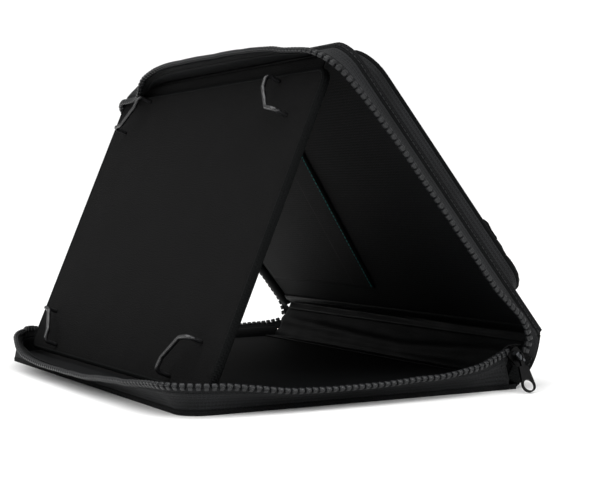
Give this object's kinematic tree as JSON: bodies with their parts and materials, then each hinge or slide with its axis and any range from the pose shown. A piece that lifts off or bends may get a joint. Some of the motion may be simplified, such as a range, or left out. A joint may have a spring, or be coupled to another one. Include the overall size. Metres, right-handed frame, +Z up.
{
  "type": "tablet case",
  "caption": "Zip-round folio case for a tablet, standing open as an A-frame with a padded cover, spine, gusseted base tray and a hinged tablet plate with elastic corner loops.",
  "frame": {"origin": "centre of the base underside, on the table", "axes": "+X along the spine towards the zip slider, +Y from the front edge to the spine, +Z up"},
  "size_m": [0.3445, 0.2296, 0.1909],
  "materials": {
    "outer_cloth": "matt ribbed polyester weave",
    "inner_gusset_cloth": "matt olive grey lining cloth",
    "lining_cloth": "matt plain weave lining",
    "webbing": "ribbed grosgrain and zip tape",
    "suede": "short black microfibre nap",
    "faux_leather": "semi gloss coated cloth",
    "stiffener_board": "plain grey board",
    "foam_padding": "closed cell foam",
    "zip_plastic": "satin moulded plastic",
    "zip_metal": "black enamel",
    "elastic_cord": "braided elastic cord"
  },
  "bodies": {
    "base": {"base_board": "stiffener_board", "base_edge_band": "webbing", "base_foam": "foam_padding", "base_gusset": "outer_cloth", "base_gusset_lining": "inner_gusset_cloth", "base_lining": "lining_cloth", "base_outer_panel": "outer_cloth", "base_zip_tape": "webbing", "base_zip_teeth": "zip_plastic"},
    "spine": {"spine_board": "stiffener_board", "spine_end_tab_near": "webbing", "spine_lining": "faux_leather", "spine_outer": "outer_cloth"},
    "cover": {"cover_board": "stiffener_board", "cover_edge_band": "webbing", "cover_foam": "foam_padding", "cover_gusset": "outer_cloth", "cover_gusset_lining": "inner_gusset_cloth", "cover_lining": "lining_cloth", "cover_outer_panel": "outer_cloth", "cover_zip_tape": "webbing", "cover_zip_teeth": "zip_plastic", "document_pocket": "lining_cloth", "document_pocket_band": "lining_cloth", "pocket_edge_binding": "webbing", "pocket_front": "outer_cloth", "pocket_gusset": "outer_cloth", "pocket_zip_coil": "zip_plastic", "pocket_zip_tape": "webbing", "slip_pocket": "outer_cloth", "slip_pocket_hem": "webbing"},
    "plate": {"loop_knots": "elastic_cord", "plate_backing": "suede", "plate_board": "stiffener_board", "plate_face": "suede", "plate_hinge_strip": "suede", "plate_rim_binding": "webbing"},
    "zip_slider": {"zip_slider_body": "zip_metal", "zip_slider_bridge": "zip_metal"},
    "zip_pull": {"zip_pull": "zip_metal"},
    "pocket_slider": {"pocket_zip_slider": "zip_metal"},
    "pocket_pull": {"pocket_zip_pull": "zip_metal"},
    "loop_lower_far": {"corner_loop_lower_far": "elastic_cord"},
    "loop_lower_near": {"corner_loop_lower_near": "elastic_cord"},
    "loop_upper_far": {"corner_loop_upper_far": "elastic_cord"},
    "loop_upper_near": {"corner_loop_upper_near": "elastic_cord"}
  },
  "joints": [
    {"name": "spine_fold", "type": "hinge", "parent": "base", "child": "spine", "pos_m": [0, 0.1, 0], "axis": [-1, 0, 0], "range_deg": [0, 39]},
    {"name": "cover_fold", "type": "hinge", "parent": "spine", "child": "cover", "pos_m": [0, 0.11778, 0.0313], "axis": [-1, 0, 0], "range_deg": [0, 88]},
    {"name": "plate_fold", "type": "hinge", "parent": "cover", "child": "plate", "pos_m": [0, -0.01031, 0.18259], "axis": [1, 0, 0], "range_deg": [0, 60.5]},
    {"name": "zip_slide", "type": "slide", "parent": "base", "child": "zip_slider", "axis": [0, 0.6997, -0.7145], "range_m": [0, 0.003]},
    {"name": "zip_pull_swing", "type": "hinge", "parent": "zip_slider", "child": "zip_pull", "pos_m": [0.16395, 0.0946, 0.019], "axis": [0, -1, 0], "range_deg": [0, 110]},
    {"name": "pocket_zip_slide", "type": "slide", "parent": "cover", "child": "pocket_slider", "axis": [1, 0, 0], "range_m": [0, 0.19]},
    {"name": "pocket_pull_swing", "type": "hinge", "parent": "pocket_slider", "child": "pocket_pull", "pos_m": [-0.095, 0.00258, 0.18883], "axis": [0, -0.7934, -0.6088], "range_deg": [0, 160]},
    {"name": "loop_stretch_lower_near", "type": "hinge", "parent": "plate", "child": "loop_lower_near", "pos_m": [0.10925, -0.08229, 0.02411], "axis": [0.7516, 0.2607, 0.6059], "range_deg": [0, 50], "stiffness_Nm_per_rad": 0.002},
    {"name": "loop_stretch_upper_near", "type": "hinge", "parent": "plate", "child": "loop_upper_near", "pos_m": [0.10925, -0.02262, 0.16283], "axis": [-0.7516, 0.2607, 0.6059], "range_deg": [0, 50], "stiffness_Nm_per_rad": 0.002},
    {"name": "loop_stretch_lower_far", "type": "hinge", "parent": "plate", "child": "loop_lower_far", "pos_m": [-0.10925, -0.08229, 0.02411], "axis": [0.7516, -0.2607, -0.6059], "range_deg": [0, 50], "stiffness_Nm_per_rad": 0.002},
    {"name": "loop_stretch_upper_far", "type": "hinge", "parent": "plate", "child": "loop_upper_far", "pos_m": [-0.10925, -0.02262, 0.16283], "axis": [-0.7516, -0.2607, -0.6059], "range_deg": [0, 50], "stiffness_Nm_per_rad": 0.002}
  ],
  "couplings": [
    {"joint": "spine_fold", "follows": "cover_fold", "ratio": 0.44318},
    {"joint": "plate_fold", "follows": "cover_fold", "ratio": 0.6875}
  ]
}
